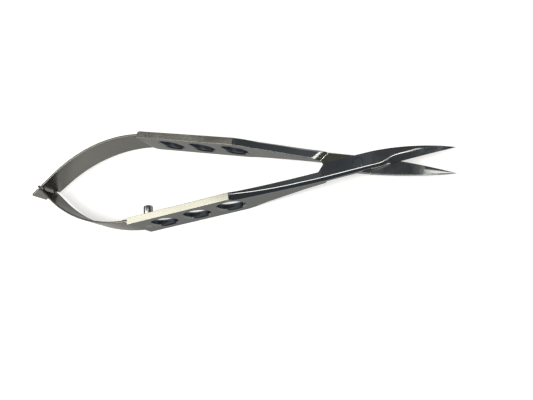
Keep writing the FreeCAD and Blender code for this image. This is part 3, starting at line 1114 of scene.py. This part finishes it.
@dataclass
class StopPin(ScissorPiece):
    """Headed peg on the near grip's inner face that stops the handles."""

    finish: bpy.types.Material
    along: float = -58.5
    face: float = 0.75
    grip: float = 1.85
    shank: float = 0.9
    neck: float = 1.05
    neck_height: float = 1.1
    radius: float = 1.25
    height: float = 3.7
    crown: float = 0.35
    fillet: float = 0.1
    chamfer: float = 0.05
    lip: float = 0.03

    def build(self) -> bpy.types.Object:
        """Turn the peg and stand it on the grip's inner face.

        Returns:
            The stop pin.
        """
        shoulder = self.height - self.crown
        crown = [(self.radius - self.crown + self.crown * math.cos(angle),
                  shoulder + self.crown * math.sin(angle))
                 for angle in [math.radians(step) for step in range(0, 91, 18)]]
        under = self.neck_height + self.radius - self.neck
        piece = turned("stop_pin_turned", [
            (0, -self.grip), (self.shank, -self.grip), (self.shank, 0),
            (self.neck + self.fillet, 0), (self.neck, self.fillet), (self.neck, self.neck_height),
            (self.radius - self.chamfer, under - self.chamfer),
            (self.radius, under + self.lip), *crown, (0, self.height)])
        mark_grain(piece, [
            Vector((0, vertex.co.to_2d().length, vertex.co.z)) / MM
            for vertex in piece.data.vertices])
        stand = Matrix.Rotation(math.radians(90), 4, "X")
        lift = Matrix.Translation(metres(self.along, self.face, 0))
        place = Matrix.Translation(self.pivot) @ self.to_row.to_4x4()
        piece.data.transform(place @ lift @ stand)
        piece.data.flip_normals()
        smooth_faces(piece)
        piece.data.materials.append(self.finish)
        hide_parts("stop_pin")
        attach(piece, "near_side")
        return piece


@dataclass
class Camera:
    """The camera where the photograph was taken from, placed from the pivot."""

    frame: Frame
    place: tuple[float, float, float] = (39.084, -40.22, 120.94)
    turn: tuple[float, float, float] = (15.441, 26.255, 3.861)  # degrees
    lens: float = 39.43
    sensor: float = 36.0
    nearest: float = 5.0

    def build(self) -> bpy.types.Object:
        """Add the camera and make it the scene's own.

        Returns:
            The camera.
        """
        data = bpy.data.cameras.new("camera")
        data.lens = self.lens
        data.sensor_width = self.sensor
        data.clip_start = self.nearest * MM
        camera = bpy.data.objects.new("camera", data)
        camera.location = pivot_of(self.frame) + metres(*self.place)
        camera.rotation_euler = Euler([math.radians(angle) for angle in self.turn])
        bpy.context.scene.collection.objects.link(camera)
        bpy.context.scene.camera = camera
        return camera


@dataclass(frozen=True)
class SoftLamp:
    """A plain soft lamp that faces the scissors."""

    name: str
    place: tuple[float, float, float]
    width: float
    height: float
    level: float
    colour: str = "#FFFFFF"
    hangs_flat: bool = False  # faces straight down instead of the scissors

    def build(self) -> bpy.types.Object:
        """Add the lamp.

        Returns:
            The lamp.
        """
        data = bpy.data.lights.new(self.name, "AREA")
        data.shape = "RECTANGLE"
        data.size = self.width * MM
        data.size_y = self.height * MM
        data.energy = self.level * math.pi * data.size * data.size_y
        data.color = linear(self.colour)[:3]
        lamp = bpy.data.objects.new(self.name, data)
        lamp.location = metres(*self.place)
        if not self.hangs_flat:
            lamp.rotation_euler = Vector(self.place).to_track_quat("Z", "Y").to_euler()
        bpy.context.scene.collection.objects.link(lamp)
        return lamp


@dataclass
class Studio:
    """White paper floor, soft lamps and a dim room."""

    lamps: tuple[SoftLamp, ...]
    floor_size: float = 4000.0
    paper: str = "#E8E8E6"  # as it lights the scissors from below
    paper_seen: str = "#C4C4C4"  # as the eye and the steel see it, with the glow on top
    paper_glow: float = 0.55
    room_above: str = "#7A7C7E"
    room_level: str = "#606264"
    level_up_to: float = 0.1
    above_from: float = 0.7

    def build_floor(self) -> bpy.types.Object:
        """Add the floor: white to the eye and in the steel, with its shadow.

        Returns:
            The floor.
        """
        half = self.floor_size / 2
        corners = [metres(half * x, half * y, 0) for x, y in ((-1, -1), (1, -1), (1, 1), (-1, 1))]
        mesh = bpy.data.meshes.new("floor")
        mesh.from_pydata(corners, [], [(0, 1, 2, 3)])
        floor = new_piece("floor", mesh)
        material = bpy.data.materials.new("white_paper")
        material.use_nodes = True
        tree = material.node_tree
        tree.nodes.clear()
        rays = add_node(tree, "ShaderNodeLightPath").outputs
        seen = add_node(tree, "ShaderNodeMath", {"operation": "MAXIMUM"}, {
            0: rays["Is Camera Ray"], 1: rays["Is Glossy Ray"]})
        paper = add_node(tree, "ShaderNodeBsdfDiffuse", None, {"Color": linear(self.paper)})
        shaded = add_node(tree, "ShaderNodeBsdfDiffuse", None, {
            "Color": linear(self.paper_seen)})
        white = add_node(tree, "ShaderNodeEmission", None, {
            "Color": linear("#FFFFFF"), "Strength": self.paper_glow})
        shown = add_node(tree, "ShaderNodeAddShader", None, {
            0: shaded.outputs["BSDF"], 1: white.outputs["Emission"]})
        mix = add_node(tree, "ShaderNodeMixShader", None, {
            0: seen.outputs["Value"], 1: paper.outputs["BSDF"], 2: shown.outputs["Shader"]})
        add_node(tree, "ShaderNodeOutputMaterial", None, {"Surface": mix.outputs["Shader"]})
        floor.data.materials.append(material)
        return floor

    def build_room(self) -> bpy.types.World:
        """Make the world: an even, dim room.

        Returns:
            The world.
        """
        world = bpy.data.worlds.new("room")
        world.use_nodes = True
        tree = world.node_tree
        tree.nodes.clear()
        way = add_node(tree, "ShaderNodeTexCoord").outputs["Generated"]
        up = add_node(tree, "ShaderNodeSeparateXYZ", None, {0: way}).outputs["Z"]
        ramp = add_node(tree, "ShaderNodeValToRGB", None, {"Fac": up})
        ramp.color_ramp.elements[0].position = self.level_up_to
        ramp.color_ramp.elements[0].color = linear(self.room_level)
        ramp.color_ramp.elements[1].position = self.above_from
        ramp.color_ramp.elements[1].color = linear(self.room_above)
        light = add_node(tree, "ShaderNodeBackground", None, {
            "Color": ramp.outputs["Color"], "Strength": 1.0})
        add_node(tree, "ShaderNodeOutputWorld", None, {"Surface": light.outputs["Background"]})
        bpy.context.scene.world = world
        return world

    def build(self) -> None:
        """Add floor, lamps and room."""
        self.build_floor()
        self.build_room()
        for lamp in self.lamps:
            lamp.build()


LAMPS = (
    # Over the grips' left: the lower grip's satin edge mirrors it
    SoftLamp("band_lamp", (-715.0, 50.0, 1010.0), 560.0, 500.0, 3.6, "#FFFBEE"),
    # Over the near side of the scissors: only the rounded ridge lines mirror it
    SoftLamp("ridge_lamp", (-195.0, -250.0, 1000.0), 1110.0, 340.0, 9.0, "#FFF9EC", True),
    # Beside the camera: the main light on everything that is not mirrored
    SoftLamp("key_lamp", (1000.0, -600.0, 700.0), 700.0, 600.0, 3.0),
    # Over the tips: the lower blade's curved end mirrors it
    SoftLamp("tip_lamp", (490.0, 150.0, 1000.0), 440.0, 300.0, 4.2, "#FFFBF2", True),
    # Low in front: the step of the lap joint mirrors it
    SoftLamp("step_lamp", (528.0, -835.0, 112.0), 240.0, 90.0, 4.0),
    # A faint glow above, which the shanks mirror near the joint
    SoftLamp("shank_lamp", (-215.0, 290.0, 1000.0), 150.0, 400.0, 0.15, "#FFFFFF", True),
)


def zone_finishes() -> dict[Zone, bpy.types.Material]:
    """Make the finishes of the halves.

    Returns:
        A material for each zone.
    """
    finishes = {
        # Shanks and joint plates buffed on a cloth wheel: a dark, clear mirror
        Zone.POLISHED: SteelFinish("buffed_steel", "#74787C", 0.10, line_depth=0.25),
        # Edge faces of the grips drawn over a fine belt: an even, warm satin
        Zone.BAND: SteelFinish("belt_satin_steel", "#90908A", 0.185, line_spacing=0.25),
        # Flat grip faces rubbed along their length: a softer, greyer satin
        Zone.GRIP: SteelFinish("fine_satin_steel", "#6B6E6E", 0.24),
        # Blades ground and polished: a mirror with soft clouds from the stone
        Zone.GROUND: SteelFinish(
            "ground_steel", "#777A7C", 0.13, line_depth=0.2, cloud_size=2.5, cloud_sheen=0.07),
        # Walls of the finger openings, milled and dull; their dark blue-grey colour and darker
        # edge tint are painted shade inside the openings
        Zone.BORE: SteelFinish("milled_steel", "#3C424A", 0.42, edge_tint="#808080"),
        # Mating faces of the joint, lapped dull so that they slide without binding; their dark
        # colour is painted shade where the two halves meet
        Zone.LAPPED: SteelFinish("lapped_steel", "#424440", 0.34, line_spacing=0.2),
        # Slope of the lap joint's step, milled: a small bright flash, partly the step lamp that it
        # mirrors and partly a painted highlight in its light colour
        Zone.RAMP: SteelFinish("bright_milled_steel", "#D4D4CC", 0.2),
    }
    return {zone: finish.build() for zone, finish in finishes.items()}


def main() -> None:
    """Build the camera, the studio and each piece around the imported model."""
    logging.basicConfig(level=logging.INFO, format="%(message)s")
    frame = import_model()
    bpy.context.scene.view_settings.view_transform = "Standard"
    Camera(frame).build()
    Studio(LAMPS).build()
    finishes = zone_finishes()
    # Rolled spring strip, tempered and rubbed: an even, slightly warm grey
    spring = SteelFinish("spring_steel", "#6C6C69", 0.26).build()
    # Turned on a lathe: fine rings round the axis that break up what it mirrors
    lathe = SteelFinish("turned_steel", "#808284", 0.3, line_spacing=0.16).build()
    pieces = [ScissorHalf(side, frame, finishes).build() for side in Side]
    pieces += [LeafSpring(side, frame, spring).build() for side in Side]
    pieces.append(PivotScrew(Side.NEAR, frame, finishes[Zone.POLISHED]).build())
    pieces.append(StopPin(Side.NEAR, frame, lathe).build())
    for piece in pieces:
        LOG.info("%s: %d faces", piece.name, len(piece.data.polygons))


if __name__ == "__main__":
    main()
